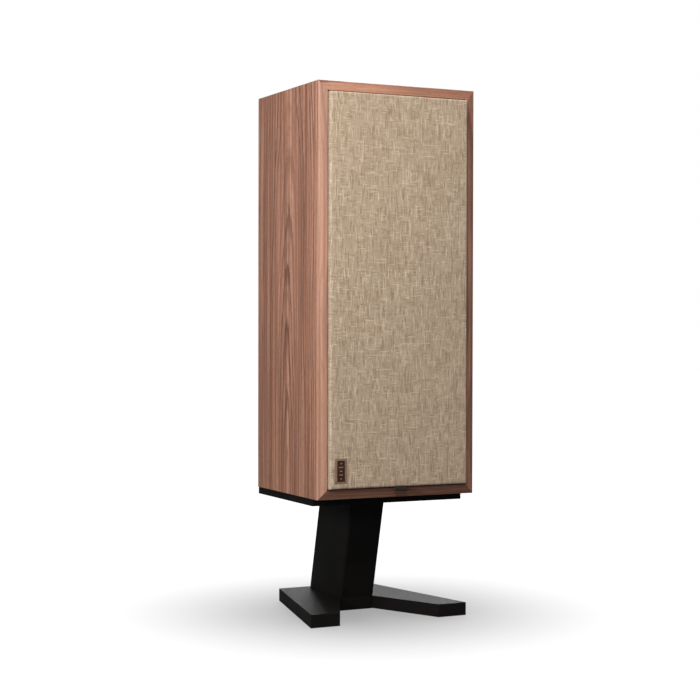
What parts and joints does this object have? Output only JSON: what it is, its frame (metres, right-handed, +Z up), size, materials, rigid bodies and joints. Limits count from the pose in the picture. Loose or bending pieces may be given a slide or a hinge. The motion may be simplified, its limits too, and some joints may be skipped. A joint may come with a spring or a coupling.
{
  "type": "floorstanding speaker",
  "caption": "Tall walnut loudspeaker with a pull-off cloth grille, on a black stand with a forward-leaning column and a forked base.",
  "frame": {"origin": "on the floor, under the middle of the overall width and of the overall front-to-back length", "axes": "+Z up, -Y towards the listener, +X to the listener's right"},
  "size_m": [0.364, 0.39, 1.115],
  "materials": {
    "walnut": "satin open-pore veneer",
    "black_panel": "matt black lacquer on fibreboard",
    "plywood": "raw plywood",
    "basket_paint": "fine-textured black powder coat",
    "zinc_steel": "zinc-plated steel",
    "ferrite": "sintered ferrite",
    "coil": "enamelled copper wire",
    "spider_cloth": "resin-treated cotton",
    "cone_paper": "pressed pulp, coated",
    "surround_rubber": "soft matt rubber",
    "dome_silk": "coated silk",
    "black_plastic": "moulded, fine texture",
    "terminal_plate": "black anodised",
    "gold_brass": "gold-plated",
    "red_plastic": "moulded, glossy",
    "board": "pressed fibreboard",
    "capacitor_film": "shrink-wrapped film capacitor",
    "resistor_ceramic": "cement-filled ceramic",
    "lead_jacket": "soft insulated twin lead",
    "black_steel": "black oxide",
    "grille_board": "fibreboard stained black",
    "grille_linen": "slubby linen-look weave",
    "magnet_nickel": "nickel-plated",
    "badge_leather": "tooled brown leather",
    "tab_webbing": "black webbing",
    "stand_black": "satin black lacquer",
    "pad_rubber": "matt rubber"
  },
  "bodies": {
    "cabinet_and_stand": {"cabinet_left_side": "walnut", "cabinet_right_side": "walnut", "cabinet_top": "walnut", "cabinet_bottom": "walnut", "back_panel": "black_panel", "front_baffle": "black_panel", "window_brace": "plywood", "woofer_basket": "basket_paint", "midrange_basket": "basket_paint", "tweeter_faceplate": "basket_paint", "woofer_top_plate": "zinc_steel", "woofer_yoke": "zinc_steel", "midrange_top_plate": "zinc_steel", "midrange_yoke": "zinc_steel", "tweeter_top_plate": "zinc_steel", "tweeter_yoke": "zinc_steel", "column_end_plates": "zinc_steel", "woofer_magnet": "ferrite", "midrange_magnet": "ferrite", "tweeter_magnet": "ferrite", "crossover_inductors": "coil", "woofer_spider": "spider_cloth", "midrange_spider": "spider_cloth", "woofer_surround": "surround_rubber", "midrange_surround": "surround_rubber", "tweeter_surround": "dome_silk", "midrange_chamber": "black_plastic", "port_tube": "black_plastic", "terminal_plate": "terminal_plate", "terminal_studs": "gold_brass", "crossover_board": "board", "crossover_capacitors": "capacitor_film", "crossover_resistors": "resistor_ceramic", "woofer_leads": "lead_jacket", "midrange_leads": "lead_jacket", "tweeter_leads": "lead_jacket", "wood_screws": "black_steel", "stand_bolts": "black_steel", "baffle_magnets": "magnet_nickel", "stand_top_plate": "stand_black", "stand_column": "stand_black", "stand_base": "stand_black", "stand_pads": "pad_rubber"},
    "grille": {"grille_frame": "grille_board", "grille_cloth": "grille_linen", "grille_magnets": "magnet_nickel", "grille_badge": "badge_leather", "grille_pull_tab": "tab_webbing"},
    "woofer_cone": {"woofer_cone": "cone_paper", "woofer_dust_cap": "cone_paper", "woofer_voice_coil": "coil"},
    "midrange_cone": {"midrange_cone": "cone_paper", "midrange_dust_cap": "cone_paper", "midrange_voice_coil": "coil"},
    "tweeter_dome": {"tweeter_dome": "dome_silk"},
    "red_washer": {"terminal_washer_red": "gold_brass"},
    "red_cap": {"terminal_cap_red": "red_plastic"},
    "black_washer": {"terminal_washer_black": "gold_brass"},
    "black_cap": {"terminal_cap_black": "black_plastic"}
  },
  "joints": [
    {"name": "grille_pull", "type": "slide", "parent": "cabinet_and_stand", "child": "grille", "axis": [0, -1, 0], "range_m": [0, 0.25]},
    {"name": "woofer_stroke", "type": "slide", "parent": "cabinet_and_stand", "child": "woofer_cone", "axis": [0, -1, 0], "range_m": [-0.006, 0.006], "stiffness_N_per_m": 1500, "deforming": ["woofer_surround", "woofer_spider"]},
    {"name": "midrange_stroke", "type": "slide", "parent": "cabinet_and_stand", "child": "midrange_cone", "axis": [0, -1, 0], "range_m": [-0.002, 0.002], "stiffness_N_per_m": 1500, "deforming": ["midrange_surround", "midrange_spider"]},
    {"name": "tweeter_stroke", "type": "slide", "parent": "cabinet_and_stand", "child": "tweeter_dome", "axis": [0, -1, 0], "range_m": [-0.0004, 0.0004], "stiffness_N_per_m": 1000, "deforming": ["tweeter_surround"]},
    {"name": "red_lift", "type": "slide", "parent": "cabinet_and_stand", "child": "red_washer", "axis": [0, 1, 0], "range_m": [0, 0.005]},
    {"name": "red_unscrew", "type": "hinge", "parent": "red_washer", "child": "red_cap", "pos_m": [-0.019, 0.158, 0.4], "axis": [0, 1, 0], "range_deg": [0, 1440]},
    {"name": "black_lift", "type": "slide", "parent": "cabinet_and_stand", "child": "black_washer", "axis": [0, 1, 0], "range_m": [0, 0.005]},
    {"name": "black_unscrew", "type": "hinge", "parent": "black_washer", "child": "black_cap", "pos_m": [0.019, 0.158, 0.4], "axis": [0, 1, 0], "range_deg": [0, 1440]}
  ],
  "couplings": [
    {"joint": "red_lift", "follows": "red_unscrew", "m_per_rad": 0.00019894},
    {"joint": "black_lift", "follows": "black_unscrew", "m_per_rad": 0.00019894}
  ]
}
